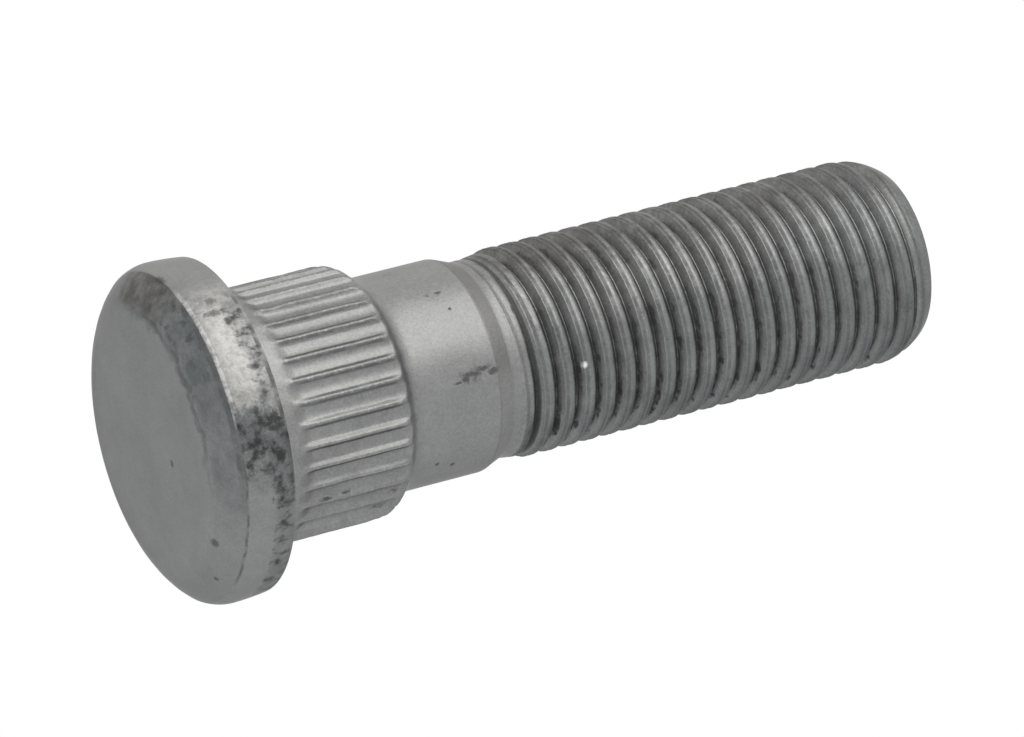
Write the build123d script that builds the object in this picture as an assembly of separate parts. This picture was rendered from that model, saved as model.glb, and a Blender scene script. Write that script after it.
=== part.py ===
# A press-in wheel stud: forged head, rolled knurl, plain shank and M14 x 1.5 thread, one piece of steel.
# Sizes are in millimetres. The stud stands on the flat face of its head, centred on the origin,
# with its threaded end up along +Z. The threaded length is turned to the thread's crest diameter.
import math
import os

from build123d import *
from build123d.topology import SkipClean

# Head: a flat face, a domed bevel round it, a slightly barrelled rim and a flat underside
head_d = 22.54
head_thickness = 4.9
rim_widest_height = 2.75
bevel_inset = 0.32
bevel_width = 2.55
bevel_height = 1.65
bevel_dome = 0.26
rim_taper = 0.15
lip_chamfer = 0.25
seat_fillet = 0.8

# Knurl: straight ridges with flat-bottomed grooves between them, rolled on a plain band
knurl_d = 16.9
knurl_length = 9.7
knurl_teeth = 36
knurl_depth = 0.36
knurl_flank_deg = 42.0
ridge_tip_width = 0.14
band_length = 1.8
groove_ramp_deg = 35.0
lead_length = 1.55

# Plain shank, and the cone from it down to the neck that the thread starts from
shank_d = 14.3
shank_length = 5.65
cone_length = 1.65
neck_d = 13.2
neck_length = 0.7

# Thread: the run-in where its crests grow out of the neck, the full crests and the rounded tip
thread_d = 13.9
run_in_length = 1.75
thread_length = 30.7
tip_length = 3.0
tip_inset = 1.1

# How far the groove cutter stands clear of the knurl
cutter_clearance = 0.02

head_r = head_d / 2
bevel_r = head_r - bevel_inset
face_r = bevel_r - bevel_width
rim_end_r = head_r - rim_taper
lip_start = head_thickness - lip_chamfer
knurl_r = knurl_d / 2
shank_r = shank_d / 2
neck_r = neck_d / 2
crest_r = thread_d / 2
tip_r = crest_r - tip_inset

band_end = head_thickness + band_length
knurl_end = head_thickness + knurl_length
lead_end = knurl_end + lead_length
shank_end = lead_end + shank_length
cone_end = shank_end + cone_length
neck_end = cone_end + neck_length
run_in_end = neck_end + run_in_length
stud_length = neck_end + thread_length
tip_start = stud_length - tip_length

groove_ramp_length = (knurl_depth + cutter_clearance) / math.tan(math.radians(groove_ramp_deg))
full_groove = band_end + groove_ramp_length


def bevel_arc():
    """The domed bevel, from the edge of the flat face to the rim."""
    start = Vector(face_r, 0)
    stop = Vector(bevel_r, bevel_height)
    along = (stop - start).normalized()
    outward = Vector(along.Y, -along.X)
    return ThreePointArc(start, (start + stop) / 2 + outward * bevel_dome, stop)


def barrel_arc(widest_r, widest_height, end_r, end_height):
    """An arc that is upright at its widest point and curves in to an end above or below it."""
    rise = end_height - widest_height
    drop = widest_r - end_r
    radius = (rise**2 + drop**2) / (2 * drop)
    turn = math.degrees(math.asin(rise / radius))
    return CenterArc((widest_r - radius, widest_height), radius, 0, turn)


def outline():
    """Half of the stud's outline as radius and height, from the head to the tip and back down the axis."""
    seat_r = knurl_r + seat_fillet
    seat_end = head_thickness + seat_fillet
    return [
        Line((0, 0), (face_r, 0)),
        bevel_arc(),
        barrel_arc(head_r, rim_widest_height, bevel_r, bevel_height),
        barrel_arc(head_r, rim_widest_height, rim_end_r, lip_start),
        Line((rim_end_r, lip_start), (rim_end_r - lip_chamfer, head_thickness)),
        Line((rim_end_r - lip_chamfer, head_thickness), (seat_r, head_thickness)),
        CenterArc((seat_r, seat_end), seat_fillet, 270, -90),
        Line((knurl_r, seat_end), (knurl_r, full_groove)),
        Line((knurl_r, full_groove), (knurl_r, knurl_end)),
        Line((knurl_r, knurl_end), (shank_r, lead_end)),
        Line((shank_r, lead_end), (shank_r, shank_end)),
        Line((shank_r, shank_end), (neck_r, cone_end)),
        Line((neck_r, cone_end), (neck_r, neck_end)),
        Line((neck_r, neck_end), (crest_r, run_in_end)),
        Line((crest_r, run_in_end), (crest_r, tip_start)),
        barrel_arc(crest_r, tip_start, tip_r, stud_length),
        Line((tip_r, stud_length), (0, stud_length)),
        Line((0, stud_length), (0, 0)),
    ]


def turned_blank():
    """The stud before its knurl is rolled. The plain band and the ridges' length are separate faces."""
    section = Plane.XZ * make_face(outline())
    return revolve(section, axis=Axis.Z, clean=False)


def groove_cutter():
    """One flat-bottomed knurl groove on +X, with a ramp where it dies out near the head."""
    top_r = knurl_r + cutter_clearance
    floor_r = knurl_r - knurl_depth
    widening = math.tan(math.radians(knurl_flank_deg))
    half_pitch = math.pi * knurl_r / knurl_teeth
    half_width = half_pitch - ridge_tip_width / 2
    half_top = half_width + cutter_clearance * widening
    half_floor = half_width - knurl_depth * widening
    with BuildPart() as cutter:
        with BuildSketch(Plane.XY.offset(band_end)):
            Polygon(
                (floor_r, -half_floor),
                (top_r, -half_top),
                (top_r, half_top),
                (floor_r, half_floor),
                align=None,
            )
        extrude(amount=lead_end - band_end)
        with BuildSketch(Plane.XZ):
            Polygon((floor_r, band_end), (top_r, band_end), (floor_r, full_groove), align=None)
        extrude(amount=half_pitch, both=True, mode=Mode.SUBTRACT)
    return cutter.part


def wheel_stud():
    """The finished stud: the turned blank with its knurl grooves, a ridge standing on +X.

    The blank's seam is turned into the first groove, so that it cuts no ridge in two.
    """
    step = 360 / knurl_teeth
    grooves = [Rot(0, 0, step * (tooth + 0.5)) * groove_cutter() for tooth in range(knurl_teeth)]
    with SkipClean():
        return Rot(0, 0, step / 2) * turned_blank() - grooves


os.makedirs("parts", exist_ok=True)
export_step(wheel_stud(), "parts/wheel_stud.step")
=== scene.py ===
import math

import bmesh
import bpy
from mathutils import Matrix, Vector, noise


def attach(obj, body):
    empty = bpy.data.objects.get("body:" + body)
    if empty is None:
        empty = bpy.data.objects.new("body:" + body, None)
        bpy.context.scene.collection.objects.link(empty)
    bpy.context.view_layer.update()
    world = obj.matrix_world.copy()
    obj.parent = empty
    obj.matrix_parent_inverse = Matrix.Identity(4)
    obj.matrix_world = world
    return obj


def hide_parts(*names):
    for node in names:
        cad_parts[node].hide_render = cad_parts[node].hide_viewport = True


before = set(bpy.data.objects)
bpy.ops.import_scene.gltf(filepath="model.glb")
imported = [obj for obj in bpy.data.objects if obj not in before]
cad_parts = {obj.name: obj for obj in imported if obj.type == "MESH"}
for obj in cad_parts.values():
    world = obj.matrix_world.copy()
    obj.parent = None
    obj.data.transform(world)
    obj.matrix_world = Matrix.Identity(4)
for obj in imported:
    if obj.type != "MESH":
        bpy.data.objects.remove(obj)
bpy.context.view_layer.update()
MM = 0.001
METRE = 1000.0

# Head, as in the part's source
head_r = 11.27
head_thickness = 4.9
rim_widest_height = 2.75
face_r = 8.40
bevel_r = 10.95
bevel_height = 1.65
bevel_dome = 0.26
rim_end_r = 11.12
rim_bow_low = 0.082
rim_bow_high = 0.038
rim_lip_round = 0.3
seat_fillet = 0.8

# Knurl and lead-in cone, close to the source's and rounded like the real ones
knurl_r = 8.45
knurl_floor_r = 8.13
knurl_teeth = 36
groove_start = 6.73
groove_full = 7.7
knurl_end = 14.45
knurl_end_round = 0.50
lead_end = 15.75
lead_end_round = 0.75
wobble_deg = 0.16
wobble_noise = (3.1, 0.35, 0.0)
chip_depth = 0.10
chip_noise = (5.7, 0.9, 4.0)

# Shank and neck
shank_r = 7.15
shank_end = 21.8
shank_end_round = 0.12
cone_end = 23.2
cone_end_round = 0.24
neck_r = 6.6

# Thread: its run-in from the neck, one turn's outline, its dents and its end at the rounded tip
crests_grow = (23.8, 25.9)
roots_grow = (23.6, 25.4)
run_in_tilt = 0.35
run_in_blend = 0.3
crest_r = 6.95
root_apex_r = 6.16
pitch = 1.5
crest_height_at_x = 1.55
lip_below = 0.20
lip_below_round = 0.06
lip_above = 0.20
lip_above_round = 0.10
lip_rise = 0.01
crease_depth = 0.08
shoulder_above = 0.58
shoulder_drop = 0.16
shoulder_round = 0.10
root_above = 0.97
root_round = 0.14
first_crease = 0.055
first_crease_above = 0.24
first_crease_half = 0.2
roots_rise = (38.0, 52.0)
roots_rise_share = 0.14
coarse_dents = (0.03, 0.8)
fine_dents = (0.035, 2.3)
dents_reach = 0.2
tip_start = 51.85
stud_length = 54.85
tip_r = 5.85
tip_rounding_ends = 54.6
tip_edge_rings = ((0.06, 0.09), (-0.06, 0.02), (-0.25, 0.0))
thread_fades = (53.3, 54.35)

# How finely the meshes are cut, and how near counts as the same place
sharp_from_deg = 50
body_columns = 360
thread_columns = 216
body_row = 1.2
knurl_row = 0.36
body_top = 23.46
neck_cut = 23.52
tip_cut = 54.4
body_round_steps = 5
thread_round_steps = 2
body_merge = 0.0005
thread_merge = 0.002
cut_near = 0.0001
ring_near = 0.001


# Mesh


def new_piece(name, bm, material_slots):
    """Makes a piece from a bmesh: outward faces, soft shading and sharp edges where the metal turns."""
    bmesh.ops.recalc_face_normals(bm, faces=bm.faces[:])
    for face in bm.faces:
        face.smooth = True
    for edge in bm.edges:
        below_thread = max(vert.co.z for vert in edge.verts) < neck_cut * MM
        edge.smooth = not (below_thread and edge.calc_face_angle(0.0) > math.radians(sharp_from_deg))
    mesh = bpy.data.meshes.new(name)
    bm.to_mesh(mesh)
    bm.free()
    for material in material_slots:
        mesh.materials.append(material)
    piece = bpy.data.objects.new(name, mesh)
    bpy.context.scene.collection.objects.link(piece)
    return piece


def bowed_corner(start, stop, bow):
    """The corner whose rounding is an arc from start to stop that bows outwards by bow."""
    rounded_share = 0.97
    along = Vector(stop) - Vector(start)
    half_chord = along.length / 2
    turn = 2 * math.atan(bow / half_chord)
    outward = Vector((along.y, -along.x)).normalized()
    corner = (Vector(start) + Vector(stop)) / 2 + outward * half_chord * math.tan(turn)
    return corner.x, corner.y, rounded_share * half_chord / math.cos(turn)


def body_outline():
    """Corners of the outline from the head to the neck: radius, height and how far each is rounded."""
    return [
        (0.0, 0.0, 0.0),
        (face_r, 0.0, 0.0),
        bowed_corner((face_r, 0.0), (bevel_r, bevel_height), bevel_dome),
        (bevel_r, bevel_height, 0.0),
        bowed_corner((bevel_r, bevel_height), (head_r, rim_widest_height), rim_bow_low),
        (head_r, rim_widest_height, 0.0),
        bowed_corner((head_r, rim_widest_height), (rim_end_r, head_thickness), rim_bow_high),
        (rim_end_r, head_thickness, rim_lip_round),
        (knurl_r, head_thickness, seat_fillet),
        (knurl_r, groove_start, 0.0),
        (knurl_r, knurl_end, knurl_end_round),
        (shank_r, lead_end, lead_end_round),
        (shank_r, shank_end, shank_end_round),
        (neck_r, cone_end, cone_end_round),
        (neck_r, body_top, 0.0),
    ]


def cut_rows(bm, low, high, row):
    """Cuts the outline's edges between two heights into rows no longer than row."""
    for edge in bm.edges[:]:
        middle = (edge.verts[0].co + edge.verts[1].co) / 2
        cuts = math.ceil(edge.calc_length() / (row * MM)) - 1
        if low * MM < middle.z < high * MM and cuts > 0:
            bmesh.ops.subdivide_edges(bm, edges=[edge], cuts=cuts)


def draw_outline(bm, corners, segments):
    """Draws an outline as a chain of edges on the XZ plane, with its corners rounded."""
    chain = [bm.verts.new((r * MM, 0.0, z * MM)) for r, z, _ in corners]
    for start, stop in zip(chain, chain[1:]):
        bm.edges.new((start, stop))
    for vert, (_, _, soft) in zip(chain, corners):
        if soft:
            bmesh.ops.bevel(
                bm,
                geom=[vert],
                offset=soft * MM,
                affect="VERTICES",
                segments=segments,
                profile=0.5,
                material=-1,
            )


def eased(value, low, high):
    """Goes smoothly from 0 at low to 1 at high."""
    share = min(1.0, max(0.0, (value - low) / (high - low)))
    return share * share * (3 - 2 * share)


def knurl_phase(angle):
    """Which ridge an angle is on, and how far round it stands from that ridge's tip, in degrees."""
    step = 360 / knurl_teeth
    degrees = math.degrees(angle)
    ridge = round(degrees / step)
    return ridge, degrees - ridge * step


def along_ridge(ridge, height, ridge_step, fineness, layer):
    """Noise along a knurl ridge, unlike that on the next one."""
    return noise.noise(Vector((ridge * ridge_step, height * fineness, layer)))


def roll_knurl(bm):
    """Presses the knurl's grooves into the turned blank, leaving narrow ridges with chipped tips.

    The mesh's columns, one degree apart, are moved together on the ridges and apart in the grooves.
    """
    columns_deg = (0.0, 0.5, 1.1, 1.8, 2.6, 5.0)
    tip_half_deg = 0.2
    foot_half_deg = 2.6
    past_start = 0.01
    below_floor = 0.3
    for vert in bm.verts:
        height = vert.co.z * METRE
        blank_r = vert.co.xy.length * METRE
        in_length = groove_start + past_start < height < lead_end
        if not in_length or blank_r < knurl_floor_r - below_floor:
            continue
        ridge, phase = knurl_phase(math.atan2(vert.co.y, vert.co.x))
        column = min(len(columns_deg) - 1, round(abs(phase)))
        warped = math.copysign(columns_deg[column], phase)
        wobble = wobble_deg * along_ridge(ridge, height, *wobble_noise)
        angle = math.radians(ridge * 360 / knurl_teeth + warped + wobble)
        sunk = eased(height, groove_start, groove_full)
        chip = chip_depth * sunk * max(0.0, along_ridge(ridge, height, *chip_noise))
        across = eased(abs(warped), tip_half_deg, foot_half_deg)
        rolled_r = knurl_r - chip * (1 - across) - (knurl_r - knurl_floor_r) * sunk * across
        r = min(blank_r, rolled_r) * MM
        vert.co.x = r * math.cos(angle)
        vert.co.y = r * math.sin(angle)


def turned_body():
    """The head, knurl, shank and neck, turned from one outline, with the knurl rolled in."""
    bm = bmesh.new()
    draw_outline(bm, body_outline(), body_round_steps)
    cut_rows(bm, -0.1, groove_start, body_row)
    cut_rows(bm, groove_start, lead_end, knurl_row)
    cut_rows(bm, lead_end, neck_cut, body_row)
    bmesh.ops.spin(
        bm,
        geom=bm.verts[:] + bm.edges[:],
        cent=(0.0, 0.0, 0.0),
        axis=(0.0, 0.0, 1.0),
        angle=2 * math.pi,
        steps=body_columns,
        use_merge=True,
    )
    bmesh.ops.remove_doubles(bm, verts=bm.verts[:], dist=body_merge * MM)
    roll_knurl(bm)
    return bm


def tip_edge(height):
    """The radius of the rounded tip at a height."""
    rise = max(0.0, height - tip_start)
    drop = crest_r - tip_r
    radius = ((stud_length - tip_start) ** 2 + drop**2) / (2 * drop)
    return crest_r - radius + math.sqrt(radius**2 - rise**2)


def thread_profile(low):
    """Corners of one turn of the thread from crest to crest: radius, height and how far each is rounded."""
    crease_r = crest_r - crease_depth
    return [
        (crease_r, low, 0.0),
        (crest_r + lip_rise, low + lip_above, lip_above_round),
        (crest_r - shoulder_drop, low + shoulder_above, shoulder_round),
        (root_apex_r, low + root_above, root_round),
        (crest_r, low + pitch - lip_below, lip_below_round),
        (crease_r, low + pitch, 0.0),
    ]


def crest_phase(point):
    """How far a point stands above the middle of the nearest crest, in millimetres."""
    turn = math.atan2(point.y, point.x) / (2 * math.pi)
    turns_up = (point.z * METRE - crest_height_at_x) / pitch - turn
    return (turns_up - round(turns_up)) * pitch


def dent(point, depth, fineness):
    """How far a point on the crests is dented."""
    return depth * max(0.0, noise.noise(point * METRE * fineness))


def rolled_thread():
    """The threaded end: one turn swept as a screw, stacked, grown out of the neck and ended at the tip."""
    bm = bmesh.new()
    low = crest_height_at_x + pitch * math.floor((neck_cut - pitch - crest_height_at_x) / pitch)
    turns = math.ceil((stud_length - low) / pitch)
    draw_outline(bm, thread_profile(low), thread_round_steps)
    bmesh.ops.spin(
        bm,
        geom=bm.verts[:] + bm.edges[:],
        cent=(0.0, 0.0, 0.0),
        axis=(0.0, 0.0, 1.0),
        dvec=(0.0, 0.0, pitch * MM / thread_columns),
        angle=2 * math.pi,
        steps=thread_columns,
    )
    bmesh.ops.spin(
        bm,
        geom=bm.verts[:] + bm.edges[:] + bm.faces[:],
        cent=(0.0, 0.0, 0.0),
        axis=(0.0, 0.0, 1.0),
        dvec=(0.0, 0.0, pitch * MM),
        angle=0.0,
        steps=turns,
        use_duplicate=True,
    )
    bmesh.ops.remove_doubles(bm, verts=bm.verts[:], dist=thread_merge * MM)
    for height, keep_above in ((neck_cut, True), (tip_cut, False)):
        bmesh.ops.bisect_plane(
            bm,
            geom=bm.verts[:] + bm.edges[:] + bm.faces[:],
            dist=cut_near * MM,
            plane_co=(0.0, 0.0, height * MM),
            plane_no=(0.0, 0.0, 1.0),
            clear_inner=keep_above,
            clear_outer=not keep_above,
        )
    for vert in bm.verts:
        height = vert.co.z * METRE
        cut_r = vert.co.xy.length * METRE
        begun = eased(height, neck_cut, neck_cut + run_in_blend)
        level = height + run_in_tilt * vert.co.x * METRE / cut_r
        grow = crests_grow if cut_r > neck_r else roots_grow
        r = neck_r + (cut_r - neck_r) * begun * eased(level, *grow)
        fresh = begun * (1 - eased(level, *crests_grow))
        from_crease = abs(crest_phase(vert.co) - first_crease_above)
        r -= first_crease * fresh * (1 - eased(from_crease, 0.0, first_crease_half))
        r += (crest_r - r) * roots_rise_share * eased(height, *roots_rise)
        r += (crest_r - r) * eased(height, *thread_fades)
        dented = dent(vert.co, *coarse_dents) + dent(vert.co, *fine_dents)
        worn_and_lit = dented * eased(cut_r, crest_r - dents_reach, crest_r)
        r = min(r - worn_and_lit, tip_edge(height))
        vert.co.xy *= r / cut_r
    return bm


def open_ring(bm, height):
    """The open edges that lie at a height."""
    level = height * MM
    near = ring_near * MM
    return [
        edge
        for edge in bm.edges
        if edge.is_boundary and all(abs(vert.co.z - level) < near for vert in edge.verts)
    ]


def close_tip(bm):
    """Carries the tip's rounding on to its flat end and closes it."""
    rings = [(tip_edge(tip_rounding_ends), tip_rounding_ends)]
    rings += [(tip_r + outside, stud_length - below) for outside, below in tip_edge_rings]
    edges = open_ring(bm, tip_cut)
    for r, height in rings:
        made = bmesh.ops.extrude_edge_only(bm, edges=edges)["geom"]
        for vert in (item for item in made if isinstance(item, bmesh.types.BMVert)):
            vert.co.xy *= r * MM / vert.co.xy.length
            vert.co.z = height * MM
        edges = [item for item in made if isinstance(item, bmesh.types.BMEdge) and item.is_boundary]
    end = {vert for edge in edges for vert in edge.verts}
    last = bmesh.ops.extrude_edge_only(bm, edges=edges)["geom"]
    middle = [item for item in last if isinstance(item, bmesh.types.BMVert) and item not in end]
    bmesh.ops.pointmerge(bm, verts=middle, merge_co=(0.0, 0.0, stud_length * MM))


def stud_mesh():
    """The whole stud as one closed mesh."""
    bm = turned_body()
    thread = rolled_thread()
    close_tip(thread)
    carried = bpy.data.meshes.new("thread")
    thread.to_mesh(carried)
    thread.free()
    bm.from_mesh(carried)
    bpy.data.meshes.remove(carried)
    bmesh.ops.bridge_loops(bm, edges=open_ring(bm, body_top) + open_ring(bm, neck_cut))
    return bm


# Finish


def put(tree, kind, inputs=None, **settings):
    """Adds a node, sets it up and links or fills its inputs."""
    node = tree.nodes.new(kind)
    for name, value in settings.items():
        setattr(node, name, value)
    for name, value in (inputs or {}).items():
        fill(tree, node.inputs[name], value)
    return node


def fill(tree, socket, value):
    """Links a socket to another, or sets its own value."""
    if isinstance(value, bpy.types.NodeSocket):
        tree.links.new(value, socket)
    elif socket.type == "RGBA" and len(value) == 3:
        socket.default_value = (*value, 1.0)
    else:
        socket.default_value = value


def calc(tree, operation, first, second=0.0):
    """A Math node's result."""
    return put(tree, "ShaderNodeMath", {0: first, 1: second}, operation=operation).outputs[0]


def product(tree, *factors):
    """All the factors multiplied."""
    result = factors[0]
    for factor in factors[1:]:
        result = calc(tree, "MULTIPLY", result, factor)
    return result


def strongest(tree, *masks):
    """The strongest of some masks at each place."""
    result = masks[0]
    for mask in masks[1:]:
        result = calc(tree, "MAXIMUM", result, mask)
    return result


def ramped(tree, value, low, high, to_low=0.0, to_high=1.0):
    """A value carried smoothly from low and high to to_low and to_high."""
    spread = {"Value": value, "From Min": low, "From Max": high, "To Min": to_low, "To Max": to_high}
    return put(tree, "ShaderNodeMapRange", spread, interpolation_type="SMOOTHSTEP").outputs["Result"]


def wrapped(tree, value, low, high):
    """A value brought into the stretch from low to high by whole steps."""
    return put(tree, "ShaderNodeMath", {0: value, 1: high, 2: low}, operation="WRAP").outputs[0]


def between(tree, value, low, high, soft):
    """A mask that is 1 between low and high and fades out over soft on either side."""
    rise = ramped(tree, value, low - soft, low)
    fall = ramped(tree, value, high, high + soft, 1.0, 0.0)
    return product(tree, rise, fall)


def blended(tree, mask, first, second):
    """Two colours blended by a mask."""
    node = put(tree, "ShaderNodeMix", data_type="RGBA")
    factor, colour_a, colour_b = (node.inputs[index] for index in (0, 6, 7))
    fill(tree, factor, mask)
    fill(tree, colour_a, first)
    fill(tree, colour_b, second)
    return node.outputs[2]


def scaled(tree, vector, factor):
    """A vector or a colour multiplied by a factor."""
    node = put(tree, "ShaderNodeVectorMath", {0: vector, "Scale": factor}, operation="SCALE")
    return node.outputs["Vector"]


def vector_calc(tree, operation, first, second):
    """A Vector Math node's vector."""
    node = put(tree, "ShaderNodeVectorMath", {0: first, 1: second}, operation=operation)
    return node.outputs["Vector"]


def vector_length(tree, vector):
    """How long a vector is."""
    return put(tree, "ShaderNodeVectorMath", {0: vector}, operation="LENGTH").outputs["Value"]


def speckle(tree, place, size, detail=2.0, roughness=0.5):
    """Noise with grains of about size, in millimetres."""
    grains = {"Vector": place, "Scale": 1.0 / size, "Detail": detail, "Roughness": roughness}
    return put(tree, "ShaderNodeTexNoise", grains).outputs["Fac"]


def new_group(name, inputs, outputs):
    """A shader node group with named inputs and outputs, and its two end nodes' sockets."""
    tree = bpy.data.node_groups.new(name, "ShaderNodeTree")
    for label, value in inputs.items():
        kind = "NodeSocketVector" if isinstance(value, tuple) else "NodeSocketFloat"
        socket = tree.interface.new_socket(label, in_out="INPUT", socket_type=kind)
        socket.default_value = value
    for label in outputs:
        kind = "NodeSocketColor" if label == "Colour" else "NodeSocketFloat"
        tree.interface.new_socket(label, in_out="OUTPUT", socket_type=kind)
    start = tree.nodes.new("NodeGroupInput")
    stop = tree.nodes.new("NodeGroupOutput")
    return tree, start.outputs, stop.inputs


def placed(tree, group, **values):
    """A node group placed in a material with its own values."""
    node = tree.nodes.new("ShaderNodeGroup")
    node.node_tree = group
    for label, value in values.items():
        fill(tree, node.inputs[label], value)
    return node.outputs


# Lighter steel, laid on as painted highlights
painted_highlight_steel = (0.480, 0.480, 0.475)
# Pale steel, for paler metal and for painted light
pale_steel_and_painted_light = (0.330, 0.327, 0.318)
grey_steel = (0.233, 0.236, 0.235)
dull_steel = (0.205, 0.210, 0.209)
# Slate and brown, for stains and for painted shade
slate_stain_and_shade = (0.122, 0.131, 0.135)
brown_stain_and_shade = (0.104, 0.099, 0.091)
# The darkest colour, for dirt and for painted shade
soot_and_painted_shade = (0.016, 0.016, 0.015)
# Colour of a painted glint
painted_glint_colour = (0.72, 0.72, 0.71)
bump_depth = 0.03


def make_plating_group():
    """Satin zinc plating: grain, clouds and wide clouds, as a shade about 1, a roughness and a height."""
    inputs = {"Place": (0.0, 0.0, 0.0), "Grain": 0.1, "Clouds": 0.1}
    tree, given, out = new_group("satin_plating", inputs, ("Shade", "Roughness", "Height"))
    fine = speckle(tree, given["Place"], 0.17, 2.0, 0.6)
    cloud = speckle(tree, given["Place"], 0.9, 3.0, 0.6)
    wide = speckle(tree, given["Place"], 5.0, 2.0, 0.5)
    fine_part = product(tree, calc(tree, "SUBTRACT", fine, 0.5), given["Grain"])
    cloud_part = product(tree, calc(tree, "SUBTRACT", cloud, 0.5), given["Clouds"])
    wide_part = product(tree, calc(tree, "SUBTRACT", wide, 0.5), given["Clouds"])
    shade = calc(tree, "ADD", calc(tree, "ADD", fine_part, cloud_part), calc(tree, "ADD", wide_part, 1.0))
    tree.links.new(shade, out["Shade"])
    tree.links.new(ramped(tree, cloud, 0.25, 0.75, 0.36, 0.46), out["Roughness"])
    tree.links.new(fine, out["Height"])
    return tree


def make_patch_group():
    """A mark on the metal: a patch round a centre, longer one way if stretched, with a ragged edge."""
    inputs = {
        "Place": (0.0, 0.0, 0.0),
        "Centre": (0.0, 0.0, 0.0),
        "Stretch": (1.0, 1.0, 1.0),
        "Reach": 1.0,
        "Ragged": 0.5,
        "Grain": 2.0,
    }
    tree, given, out = new_group("ragged_patch", inputs, ("Mask",))
    from_centre = vector_calc(tree, "SUBTRACT", given["Place"], given["Centre"])
    drawn = vector_calc(tree, "DIVIDE", from_centre, given["Stretch"])
    near = calc(tree, "DIVIDE", vector_length(tree, drawn), given["Reach"])
    grains = {"Vector": given["Place"], "Scale": given["Grain"], "Detail": 3.0, "Roughness": 0.65}
    broken = put(tree, "ShaderNodeTexNoise", grains).outputs["Fac"]
    swing = product(tree, calc(tree, "SUBTRACT", broken, 0.5), given["Ragged"], 4.0)
    edge = calc(tree, "ADD", near, swing)
    tree.links.new(ramped(tree, edge, 0.3, 1.0, 1.0, 0.0), out["Mask"])
    return tree


def make_fleck_group():
    """Scattered flecks. Share goes from 0, none, to 1, nearly everywhere. Soft is how far they fade."""
    inputs = {"Place": (0.0, 0.0, 0.0), "Scale": 3.0, "Share": 0.3, "Soft": 0.12}
    tree, given, out = new_group("flecks", inputs, ("Mask",))
    grains = {"Vector": given["Place"], "Scale": given["Scale"], "Detail": 3.0, "Roughness": 0.6}
    grain = put(tree, "ShaderNodeTexNoise", grains).outputs["Fac"]
    level = ramped(tree, given["Share"], 0.0, 1.0, 0.72, 0.36)
    over = calc(tree, "SUBTRACT", grain, level)
    tree.links.new(ramped(tree, over, 0.0, given["Soft"]), out["Mask"])
    return tree


def make_dirt_and_shade_group():
    """Darkens the metal's colour with dirt and painted shade, dulls it and fills its surface."""
    inputs = {"Colour": (0.5, 0.5, 0.5), "Shade": 1.0, "Roughness": 0.4, "Height": 0.5, "Dirt": 0.0}
    tree, given, out = new_group("dirt_and_painted_shade_on_metal", inputs, ("Colour", "Roughness", "Metallic", "Height"))
    dirt_and_shade = given["Dirt"]
    metal = scaled(tree, given["Colour"], given["Shade"])
    tree.links.new(blended(tree, dirt_and_shade, metal, soot_and_painted_shade), out["Colour"])
    tree.links.new(calc(tree, "ADD", given["Roughness"], product(tree, dirt_and_shade, 0.25)), out["Roughness"])
    tree.links.new(ramped(tree, dirt_and_shade, 0.0, 1.0, 1.0, 0.4), out["Metallic"])
    tree.links.new(calc(tree, "SUBTRACT", product(tree, given["Height"], 0.35), dirt_and_shade), out["Height"])
    return tree


plating = make_plating_group()
patch = make_patch_group()
flecks = make_fleck_group()
dirt_and_shade_group = make_dirt_and_shade_group()


def stud_place(tree):
    """The place on the stud, in millimetres."""
    coords = tree.nodes.new("ShaderNodeTexCoord").outputs["Object"]
    return scaled(tree, coords, METRE)


def height_at(tree, place):
    """The height of a place."""
    return put(tree, "ShaderNodeSeparateXYZ", {"Vector": place}).outputs["Z"]


def radius_at(tree, place):
    """How far a place is from the stud's axis."""
    return vector_length(tree, vector_calc(tree, "MULTIPLY", place, (1.0, 1.0, 0.0)))


def turn_at(tree, place):
    """How far round the stud a place is, from -Y towards +X, in radians."""
    split = put(tree, "ShaderNodeSeparateXYZ", {"Vector": place}).outputs
    return calc(tree, "ARCTAN2", split["X"], product(tree, split["Y"], -1.0))


def angle_at(tree, place):
    """How far round the stud a place is, in degrees from -180 to 180."""
    return calc(tree, "DEGREES", turn_at(tree, place))


def side_at(tree, place):
    """How far round a place is, from -90 to 90 degrees and back again on the far side, with no seam."""
    folded = calc(tree, "ARCSINE", calc(tree, "SINE", turn_at(tree, place)))
    return calc(tree, "DEGREES", folded)


def new_finish(name):
    """A material with its node tree and its Principled shader, set up as dull metal."""
    material = bpy.data.materials.new(name)
    material.use_nodes = True
    tree = material.node_tree
    shader = next(node for node in tree.nodes if node.type == "BSDF_PRINCIPLED")
    shader.inputs["Metallic"].default_value = 1.0
    shader.inputs["Specular Tint"].default_value = (0.6, 0.6, 0.6, 1.0)
    shader.inputs["Specular IOR Level"].default_value = 0.25
    return material, tree, shader


def on_stud(r, degrees, height):
    """A point on the stud from its radius, its angle from -Y towards +X and its height."""
    turn = math.radians(degrees)
    return (r * math.sin(turn), -r * math.cos(turn), height)


round_spot = (1.0, 1.0, 1.0)
long_spot = (1.0, 1.0, 1.8)
streak = (1.0, 1.0, 3.5)


def patch_mask(tree, place, centre, reach, stretch=round_spot, ragged=0.5, grain=2.0):
    """The mask of a ragged patch round a centre, which is given as radius, angle and height."""
    shape = {"Stretch": stretch, "Reach": reach, "Ragged": ragged, "Grain": grain}
    return placed(tree, patch, Place=place, Centre=on_stud(*centre), **shape)["Mask"]


def fleck_mask(tree, place, scale, share, soft=0.12):
    """The mask of scattered flecks."""
    return placed(tree, flecks, Place=place, Scale=scale, Share=share, Soft=soft)["Mask"]


def spots(tree, place, marks):
    """Small marks, each with its radius, angle and height, its reach and how it is stretched."""
    masks = [
        patch_mask(tree, place, centre, reach, stretch, ragged=0.35, grain=3.5)
        for *centre, reach, stretch in marks
    ]
    return strongest(tree, *masks)


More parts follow.
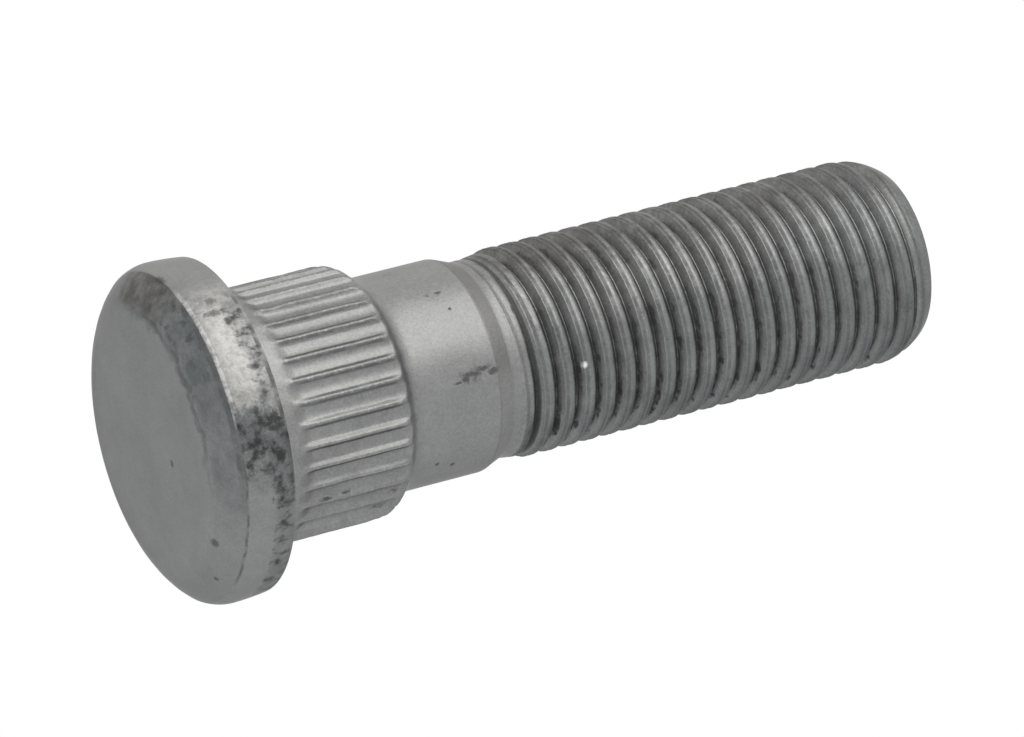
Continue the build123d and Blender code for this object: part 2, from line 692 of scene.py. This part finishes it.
def finish(tree, shader, grain, colour, dirt_and_shade):
    """Joins a finish's colour, grain, and its dirt and painted shade into the shader."""
    shown = placed(
        tree,
        dirt_and_shade_group,
        Colour=colour,
        Shade=grain["Shade"],
        Roughness=grain["Roughness"],
        Height=grain["Height"],
        Dirt=dirt_and_shade,
    )
    tree.links.new(shown["Colour"], shader.inputs["Base Color"])
    tree.links.new(shown["Roughness"], shader.inputs["Roughness"])
    tree.links.new(shown["Metallic"], shader.inputs["Metallic"])
    relief = {"Height": shown["Height"], "Distance": bump_depth * MM, "Strength": 1.0}
    bump = put(tree, "ShaderNodeBump", relief)
    tree.links.new(bump.outputs["Normal"], shader.inputs["Normal"])


def head_finish():
    """The head: a plain face with painted shade at its edge, a stained bevel, and a rim with wear and a
    painted highlight on one side, pitted beside that and with painted shade at its far edge.
    """
    material, tree, shader = new_finish("head_finish")
    place = stud_place(tree)
    height = height_at(tree, place)
    radius = radius_at(tree, place)
    angle = angle_at(tree, place)
    grain = placed(tree, plating, Place=place, Grain=0.38, Clouds=0.3)
    outside = ramped(tree, radius, 10.80, 10.95)
    bevel = product(tree, ramped(tree, height, 0.0, 0.4), ramped(tree, height, 1.56, 1.64, 1.0, 0.0))
    rim = product(tree, ramped(tree, height, 1.58, 1.70), outside)

    # Stains on the bevel, and painted shade along the edge of the face
    stain = patch_mask(tree, place, (9.9, -42, 0.7), reach=9.5, ragged=0.25, grain=0.45)
    low_stain = patch_mask(tree, place, (10.3, 4, 1.0), reach=7.0, ragged=0.3, grain=0.5)
    brown = patch_mask(tree, place, (10.4, -70, 1.1), reach=5.0, ragged=0.35, grain=0.8)
    streaks = ramped(tree, speckle(tree, place, 1.1, 3.0, 0.65), 0.35, 0.65, 0.4, 1.0)
    colour = blended(tree, product(tree, bevel, 0.12), grey_steel, slate_stain_and_shade)
    colour = blended(tree, product(tree, bevel, stain, streaks, 0.95), colour, slate_stain_and_shade)
    colour = blended(tree, product(tree, bevel, low_stain, streaks, 0.75), colour, slate_stain_and_shade)
    colour = blended(tree, product(tree, bevel, brown, streaks, 0.95), colour, brown_stain_and_shade)
    unsteady = ramped(tree, speckle(tree, place, 1.6, 3.0, 0.6), 0.3, 0.7, -0.25, 0.25)
    ragged_r = calc(tree, "ADD", radius, unsteady)
    # Painted shade along the face's edge, on the side from -55 to 0 degrees round
    face_edge_shade = between(tree, ragged_r, 8.55, 8.85, 0.35)
    ring_side = between(tree, angle, -55.0, 0.0, 35.0)
    colour = blended(tree, product(tree, face_edge_shade, ring_side, streaks, 0.5), colour, slate_stain_and_shade)

    # The rim: wear and a painted highlight on one side, a painted highlight on its near edge, stain and
    # painted shade at its far edge, and stains where it is pitted
    # Wear and a painted highlight on the rim's lit side, in paler steel broken up by mottle
    worn_and_lit = product(tree, rim, between(tree, angle, -44.0, -3.0, 12.0))
    mottle = ramped(tree, speckle(tree, place, 0.45, 3.0, 0.7), 0.35, 0.62, 0.2, 1.0)
    colour = blended(tree, product(tree, worn_and_lit, mottle), colour, pale_steel_and_painted_light)
    # Painted highlight along the rim's near edge, on the lit side
    near_edge = between(tree, height, 1.60, 1.78, 0.06)
    near_side = between(tree, angle, -48.0, -4.0, 8.0)
    colour = blended(tree, product(tree, near_edge, near_side, mottle), colour, painted_highlight_steel)
    # Stain and painted shade along the rim's far edge
    far_edge_stain_and_shade = product(tree, between(tree, height, 3.9, 5.0, 0.6), outside)
    far_side = between(tree, angle, -38.0, 80.0, 12.0)
    colour = blended(tree, product(tree, far_edge_stain_and_shade, far_side, streaks, 0.6), colour, slate_stain_and_shade)
    wedge = patch_mask(tree, place, (11.1, 3, 2.5), reach=1.7, ragged=0.4, grain=1.0)
    colour = blended(tree, product(tree, wedge, rim, 0.8), colour, slate_stain_and_shade)
    pitted = patch_mask(tree, place, (11.2, 9, 3.4), reach=4.0, ragged=0.3, grain=0.8)
    pit_stain = ramped(tree, mottle, 0.3, 0.9, 0.85, 0.35)
    colour = blended(tree, product(tree, pitted, rim, pit_stain), colour, slate_stain_and_shade)

    # Flecks and pits
    edge_pitted = patch_mask(tree, place, (11.2, 24, 4.2), reach=2.2, stretch=(2.2, 2.2, 0.8), ragged=0.3)
    most_pitted = strongest(tree, pitted, product(tree, edge_pitted, 0.8))
    pits = fleck_mask(tree, place, 1.1, product(tree, most_pitted, rim, 0.88), soft=0.26)
    worn_share = product(tree, worn_and_lit, ramped(tree, height, 2.2, 4.6, 0.25, 0.6))
    worn_flecks = fleck_mask(tree, place, 1.5, worn_share, soft=0.3)
    edge_band = product(tree, between(tree, height, 3.5, 4.7, 0.5), outside)
    edge_share = product(tree, edge_band, between(tree, angle, -35.0, 75.0, 15.0), 0.7)
    drawn_out = vector_calc(tree, "MULTIPLY", place, (1.0, 1.0, 0.7))
    edge_flecks = fleck_mask(tree, drawn_out, 1.5, edge_share, soft=0.28)
    bevel_flecks = fleck_mask(tree, place, 1.2, product(tree, bevel, stain, 0.55), soft=0.24)
    stray = fleck_mask(tree, place, 1.3, 0.16)

    # Broken dark lines along the edges; the ones under the rim's lip and at the face's edge are painted
    # shade
    broken = ramped(tree, speckle(tree, place, 0.9), 0.35, 0.6, 0.15, 0.55)
    wavy = calc(tree, "ADD", height, ramped(tree, speckle(tree, place, 1.2), 0.3, 0.7, -0.03, 0.03))
    bevel_side = between(tree, angle, 6.0, 62.0, 8.0)
    bevel_line = product(tree, between(tree, wavy, 1.62, 1.66, 0.10), bevel_side, broken, 0.8)
    inner_side = between(tree, angle, -44.0, 20.0, 10.0)
    inner_line = product(tree, between(tree, wavy, 1.34, 1.50, 0.12), inner_side, broken, 0.6)
    # Painted shade line along the rim's lip at its far edge
    lip_side = product(tree, between(tree, angle, -40.0, 14.0, 12.0), outside)
    lip_shade_line = product(tree, between(tree, wavy, 4.66, 4.86, 0.12), lip_side, broken)
    # Painted shade line at the face's edge
    face_edge_shade_line = product(tree, between(tree, ragged_r, 8.66, 8.80, 0.22), ring_side, broken, 0.55)
    marks = spots(
        tree,
        place,
        (
            (10.31, -34, 0.86, 0.45, round_spot),
            (10.92, -64, 1.61, 0.50, (1.0, 2.0, 0.5)),
            (11.24, -43, 3.11, 0.50, round_spot),
            (11.26, -38, 2.83, 0.34, (1.0, 1.0, 3.0)),
            (10.95, -5, 1.62, 0.40, round_spot),
            (3.37, 29, 0.0, 0.34, round_spot),
            (9.26, 51, 0.27, 0.46, round_spot),
            (10.12, 70, 0.72, 0.32, round_spot),
        ),
    )
    dirt_and_shade = strongest(
        tree,
        product(tree, pits, 0.82),
        product(tree, worn_flecks, 0.5),
        product(tree, edge_flecks, 0.75),
        product(tree, bevel_flecks, 0.45),
        product(tree, stray, 0.22),
        bevel_line,
        inner_line,
        lip_shade_line,
        face_edge_shade_line,
        product(tree, marks, 0.5),
    )
    finish(tree, shader, grain, colour, dirt_and_shade)
    return material


def knurl_finish():
    """The knurl: bright-specked ridge tips darker on the upper side, painted light on the upper flanks of
    the upper side, painted shade at the groove ends, and dirt and painted shade under each ridge.
    """
    material, tree, shader = new_finish("knurl_finish")
    place = stud_place(tree)
    height = height_at(tree, place)
    side = side_at(tree, place)
    half_step = 180 / knurl_teeth
    from_tip = wrapped(tree, angle_at(tree, place), -half_step, half_step)
    grain = placed(tree, plating, Place=place, Grain=0.6, Clouds=0.45)
    ridged = between(tree, height, 7.2, 14.5, 0.4)
    tips = product(tree, between(tree, from_tip, -0.6, 0.6, 0.4), ridged)
    # Ridge tips darker on the upper side
    darker_upper_tips = product(tree, tips, ramped(tree, side, 20.0, 0.0), 0.45)
    colour = blended(tree, darker_upper_tips, grey_steel, slate_stain_and_shade)
    specks = ramped(tree, speckle(tree, place, 0.3, 3.0, 0.7), 0.5, 0.62)
    colour = blended(tree, product(tree, tips, specks, 0.55), colour, pale_steel_and_painted_light)
    # Painted light on the ridges' upper flanks, on the upper side
    upper_flank = product(tree, between(tree, from_tip, -1.7, -0.7, 0.5), ridged)
    lit_upper_flanks = product(tree, upper_flank, ramped(tree, side, 5.0, -15.0))
    flank_light_breakup = ramped(tree, speckle(tree, place, 0.5, 3.0, 0.65), 0.35, 0.6, 0.3, 1.0)
    colour = blended(tree, product(tree, lit_upper_flanks, flank_light_breakup, 0.28), colour, painted_highlight_steel)
    # Painted shade at the groove ends near the head
    in_groove = ramped(tree, calc(tree, "ABSOLUTE", from_tip), 1.0, 3.0)
    groove_end_shade = product(tree, between(tree, height, 6.8, 7.5, 0.3), in_groove)
    colour = blended(tree, product(tree, groove_end_shade, 0.2), colour, brown_stain_and_shade)

    # Dirt and painted shade under each ridge, strongest above the middle
    under = product(tree, between(tree, from_tip, 0.9, 1.4, 0.5), ridged)
    gathered_dirt_and_shade = ramped(tree, speckle(tree, place, 0.9, 3.0, 0.65), 0.32, 0.62, 0.08, 0.4)
    lower_side = ramped(tree, side, -10.0, 20.0, 1.0, 0.5)
    upper_side = ramped(tree, side, -62.0, -40.0, 0.25, 1.0)
    stray = fleck_mask(tree, place, 1.4, 0.2)
    marks = spots(
        tree,
        place,
        (
            (8.3, 57, 13.82, 0.24, streak),
            (8.4, 47, 14.13, 0.22, long_spot),
            (8.3, 49, 8.64, 0.18, streak),
            (8.3, 48, 10.13, 0.18, streak),
            (8.3, 67, 13.04, 0.26, streak),
        ),
    )
    dirt_and_shade = strongest(
        tree,
        product(tree, under, gathered_dirt_and_shade, lower_side, upper_side),
        product(tree, stray, 0.22),
        product(tree, marks, 0.6),
    )
    finish(tree, shader, grain, colour, dirt_and_shade)
    return material


def shank_finish():
    """The shank: satin plating with a dark scrape, a few small marks, painted shade on the cone below the
    thread and a faint painted shade line at the shank's end.
    """
    material, tree, shader = new_finish("shank_finish")
    place = stud_place(tree)
    height = height_at(tree, place)
    side = side_at(tree, place)
    grain = placed(tree, plating, Place=place, Grain=0.5, Clouds=0.32)
    # Painted shade on the cone below the thread, stronger on the upper side
    cone = between(tree, height, 21.85, 22.9, 0.12)
    cone_side = ramped(tree, side, 4.0, 16.0, 0.42, 0.12)
    colour = blended(tree, product(tree, cone, cone_side), grey_steel, brown_stain_and_shade)

    # Painted shade line at the shank's end
    shank_end_shade_line = between(tree, height, 21.74, 21.82, 0.06)
    scraped = patch_mask(tree, place, (shank_r, 6, 20.2), reach=1.5, stretch=long_spot)
    smudged = patch_mask(tree, place, (shank_r, -40, 19.4), reach=1.0, stretch=long_spot)
    smear_share = product(tree, strongest(tree, scraped, smudged), 0.6)
    smears = fleck_mask(tree, place, 1.5, smear_share, soft=0.26)
    stray = fleck_mask(tree, place, 1.4, 0.2)
    marks = spots(
        tree,
        place,
        (
            (shank_r, 8.5, 19.5, 0.46, round_spot),
            (shank_r, 7.0, 20.0, 0.30, streak),
            (shank_r, 5.5, 20.7, 0.26, streak),
            (shank_r, 9.8, 18.9, 0.15, streak),
            (shank_r, 8.0, 21.5, 0.34, long_spot),
            (shank_r, -42, 19.78, 0.20, long_spot),
            (shank_r, -30, 20.0, 0.15, round_spot),
            (shank_r, 56, 17.37, 0.24, round_spot),
            (shank_r, 60, 18.6, 0.24, round_spot),
        ),
    )
    dirt_and_shade = strongest(
        tree,
        product(tree, shank_end_shade_line, 0.15),
        product(tree, stray, 0.2),
        product(tree, smears, 0.5),
        product(tree, marks, 0.6),
    )
    finish(tree, shader, grain, colour, dirt_and_shade)
    return material


def thread_finish():
    """The thread: dull creased crests with painted highlights on the lips, stained flanks with painted
    light, and dirt and painted shade in the roots.
    """
    material, tree, shader = new_finish("thread_finish")
    place = stud_place(tree)
    height = height_at(tree, place)
    angle = angle_at(tree, place)
    side = side_at(tree, place)
    grain = placed(tree, plating, Place=place, Grain=0.7, Clouds=0.55)
    climbed = calc(tree, "ADD", product(tree, angle, pitch / 360), crest_height_at_x - pitch / 4)
    turns_up = calc(tree, "SUBTRACT", height, climbed)
    from_crest = wrapped(tree, turns_up, -pitch / 2, pitch / 2)
    over_crest = wrapped(tree, turns_up, 0.0, pitch)
    full = between(tree, height, 24.4, 53.8, 0.4)
    # Dirt, painted shade and painted highlights weaken towards the tip
    weaker_towards_tip = ramped(tree, height, 42.0, 50.0, 1.0, 0.8)

    # Stains, duller towards the tip and browner on the upper side, and painted shade on the underside
    patches = ramped(tree, speckle(tree, place, 2.4, 3.0, 0.6), 0.4, 0.62)
    browned = ramped(tree, speckle(tree, place, 1.7, 3.0, 0.65), 0.42, 0.6)
    upper = ramped(tree, side, -20.0, -55.0)
    underside = between(tree, angle, 55.0, 95.0, 20.0)
    smear = patch_mask(tree, place, (6.8, -62, 29.5), reach=3.2, stretch=(1.0, 1.0, 2.2), grain=0.9)
    colour = blended(tree, full, grey_steel, dull_steel)
    colour = blended(tree, product(tree, full, patches, 0.3), colour, slate_stain_and_shade)
    colour = blended(tree, ramped(tree, height, 40.0, 50.0, 0.0, 0.28), colour, slate_stain_and_shade)
    colour = blended(tree, product(tree, full, upper, browned, 0.55), colour, brown_stain_and_shade)
    colour = blended(tree, product(tree, full, smear, 0.6), colour, brown_stain_and_shade)
    # Painted shade on the underside
    colour = blended(tree, product(tree, full, underside, 0.5), colour, slate_stain_and_shade)

    # Painted highlights on the lips beside the crease, painted light on the flanks and one painted glint
    lip_above_crease = between(tree, from_crest, 0.14, 0.30, 0.10)
    lip_below_crease = between(tree, from_crest, -0.25, -0.17, 0.05)
    lips = strongest(tree, lip_above_crease, lip_below_crease)
    sparkle = ramped(tree, speckle(tree, place, 0.4, 3.0, 0.7), 0.42, 0.62)
    uneven = ramped(tree, speckle(tree, place, 3.5, 2.0, 0.5), 0.35, 0.65, 0.45, 1.0)
    lit_side = between(tree, angle, -42.0, -12.0, 22.0)
    # Painted highlights on the lips, on the lit side
    lit_lips = product(tree, full, lips, sparkle, uneven, weaker_towards_tip, lit_side, 0.25)
    colour = blended(tree, lit_lips, colour, painted_highlight_steel)
    # Painted light on the flanks
    painted_flank_light = product(tree, between(tree, over_crest, 0.98, 1.20, 0.1), full, 0.35)
    colour = blended(tree, painted_flank_light, colour, pale_steel_and_painted_light)
    # A painted glint on one crest
    bright = patch_mask(tree, place, (6.8, 17.6, 28.1), reach=0.32, ragged=0.2, grain=3.0)
    colour = blended(tree, bright, colour, painted_glint_colour)

    # Painted shade and shadow with some dirt: in the roots, under the lips, in the crease and on the
    # underside's shoulders
    root = product(
        tree,
        between(tree, over_crest, 0.88, 0.98, 0.10),
        ramped(tree, side, -30.0, 30.0, 0.1, 0.85),
    )
    under_lip = product(
        tree,
        between(tree, over_crest, 1.12, 1.22, 0.12),
        ramped(tree, side, -2.0, -25.0, 0.1, 0.3),
    )
    crease = product(
        tree,
        between(tree, from_crest, -0.08, 0.06, 0.10),
        ramped(tree, side, 20.0, -10.0, 0.3, 0.5),
    )
    shoulder = product(
        tree,
        between(tree, over_crest, 0.28, 0.60, 0.15),
        ramped(tree, side, 38.0, 60.0, 0.0, 0.6),
    )
    mottle = ramped(tree, speckle(tree, place, 0.8, 3.0, 0.65), 0.3, 0.62, 0.4, 1.0)
    shade_and_dirt_in_grooves = product(tree, strongest(tree, root, under_lip, crease, shoulder), full, mottle, weaker_towards_tip)
    # Flecks of dirt and painted shade in the roots, stronger on the lower side
    root_share = product(tree, between(tree, over_crest, 0.75, 1.1, 0.2), full, weaker_towards_tip, 0.66)
    gathered_dirt_and_shade = fleck_mask(tree, place, 0.7, root_share, soft=0.2)
    stain_flecks = fleck_mask(tree, place, 1.4, product(tree, full, 0.36), soft=0.16)

    # Painted shade in the first groove and in the crease before it, where the thread runs in
    first_groove = product(
        tree,
        between(tree, over_crest, 0.98, 1.1, 0.12),
        between(tree, height, 24.3, 25.2, 0.25),
    )
    first_line = product(
        tree,
        between(tree, from_crest, 0.18, 0.30, 0.10),
        between(tree, height, 23.7, 24.2, 0.2),
    )
    dirt_and_shade = strongest(
        tree,
        shade_and_dirt_in_grooves,
        product(tree, gathered_dirt_and_shade, ramped(tree, side, -30.0, 20.0, 0.5, 0.8)),
        product(tree, stain_flecks, 0.4),
        product(tree, first_groove, 0.7),
        product(tree, first_line, 0.3),
    )
    # Dirt and painted shade are kept off the painted glint
    finish(tree, shader, grain, colour, product(tree, dirt_and_shade, calc(tree, "SUBTRACT", 1.0, bright)))
    return material


finishes = [head_finish(), knurl_finish(), shank_finish(), thread_finish()]


def finish_by_height(piece):
    """Gives each stretch of the stud its own finish."""
    borders = (head_thickness + seat_fillet, lead_end, neck_cut)
    for face in piece.data.polygons:
        height = face.center.z * METRE
        face.material_index = sum(height > border for border in borders)


stud = new_piece("stud", stud_mesh(), finishes)
finish_by_height(stud)
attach(stud, "root")
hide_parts("wheel_stud")

# Studio


def camera_as_photographed():
    """The camera: a long lens from the head's end, a little below it."""
    aim = Vector((1.143, 0.0, 26.03)) * MM
    distance = 502.96 * MM
    back = Vector((0.0, -0.90996, -0.41469)).normalized()
    up = Vector((-0.96870, -0.10293, 0.22586))
    right = up.cross(back).normalized()
    up = back.cross(right)
    data = bpy.data.cameras.new("camera")
    data.sensor_width = 36.0
    data.sensor_fit = "HORIZONTAL"
    data.lens = 270.38
    data.clip_start = 0.01
    data.clip_end = 20.0
    camera = bpy.data.objects.new("camera", data)
    bpy.context.scene.collection.objects.link(camera)
    turn = Matrix((right, up, back)).transposed().to_4x4()
    camera.matrix_world = Matrix.Translation(aim + back * distance) @ turn
    bpy.context.scene.camera = camera


def softbox(name, towards, distance, width, tall, power, colour):
    """An oblong lamp at a distance from the middle of the stud, facing it, with its lengths in metres."""
    data = bpy.data.lights.new(name, "AREA")
    data.shape = "RECTANGLE"
    data.size = width
    data.size_y = tall
    data.energy = power
    data.color = colour
    lamp = bpy.data.objects.new(name, data)
    back = Vector(towards).normalized()
    lamp.rotation_mode = "QUATERNION"
    lamp.rotation_quaternion = back.to_track_quat("Z", "Y")
    lamp.location = Vector((0.0, 0.0, stud_length / 2 * MM)) + back * distance
    bpy.context.scene.collection.objects.link(lamp)


def white_world():
    """White to the camera and in reflections, and a soft grey fill on everything else."""
    world = bpy.data.worlds.new("studio")
    bpy.context.scene.world = world
    world.use_nodes = True
    tree = world.node_tree
    out = next(node for node in tree.nodes if node.type == "OUTPUT_WORLD")
    rays = tree.nodes.new("ShaderNodeLightPath").outputs
    seen = calc(tree, "MAXIMUM", rays["Is Camera Ray"], rays["Is Glossy Ray"])
    seen = calc(tree, "MAXIMUM", seen, rays["Is Transmission Ray"])
    white = put(tree, "ShaderNodeBackground", {"Color": (1.0, 1.0, 1.0), "Strength": 1.0}).outputs[0]
    soft = put(tree, "ShaderNodeBackground", {"Color": (1.0, 1.0, 1.0), "Strength": 0.7}).outputs[0]
    mixed = put(tree, "ShaderNodeMixShader", {0: seen, 1: soft, 2: white}).outputs[0]
    tree.links.new(mixed, out.inputs["Surface"])


def pale_floor():
    """A pale floor under the head, which can't be seen from below."""
    floor_reach = 3000.0
    floor_drop = 0.05
    bm = bmesh.new()
    bmesh.ops.create_grid(bm, x_segments=1, y_segments=1, size=floor_reach * MM)
    bmesh.ops.translate(bm, verts=bm.verts[:], vec=(0.0, 0.0, -floor_drop * MM))
    mesh = bpy.data.meshes.new("floor")
    bm.to_mesh(mesh)
    bm.free()
    floor = bpy.data.objects.new("floor", mesh)
    bpy.context.scene.collection.objects.link(floor)
    material, tree, shader = new_finish("pale_floor")
    shader.inputs["Metallic"].default_value = 0.0
    shader.inputs["Base Color"].default_value = (0.86, 0.86, 0.86, 1.0)
    shader.inputs["Roughness"].default_value = 0.8
    out = next(node for node in tree.nodes if node.type == "OUTPUT_MATERIAL")
    behind = tree.nodes.new("ShaderNodeNewGeometry").outputs["Backfacing"]
    clear = tree.nodes.new("ShaderNodeBsdfTransparent").outputs[0]
    mixed = put(tree, "ShaderNodeMixShader", {0: behind, 1: shader.outputs[0], 2: clear}).outputs[0]
    tree.links.new(mixed, out.inputs["Surface"])
    mesh.materials.append(material)
    floor.visible_glossy = False
    floor.visible_diffuse = False
    floor.visible_shadow = False
    floor.visible_transmission = False


camera_as_photographed()
white_world()
pale_floor()
softbox(
    "key",
    towards=(-0.69, -0.67, 0.28),
    distance=0.30,
    width=0.32,
    tall=0.52,
    power=0.80,
    colour=(1.0, 0.975, 0.935),
)
softbox(
    "back",
    towards=(-0.70, 0.60, 0.38),
    distance=0.30,
    width=0.30,
    tall=0.42,
    power=0.17,
    colour=(1.0, 0.94, 0.86),
)
bpy.context.scene.view_settings.view_transform = "Standard"

bpy.context.view_layer.update()
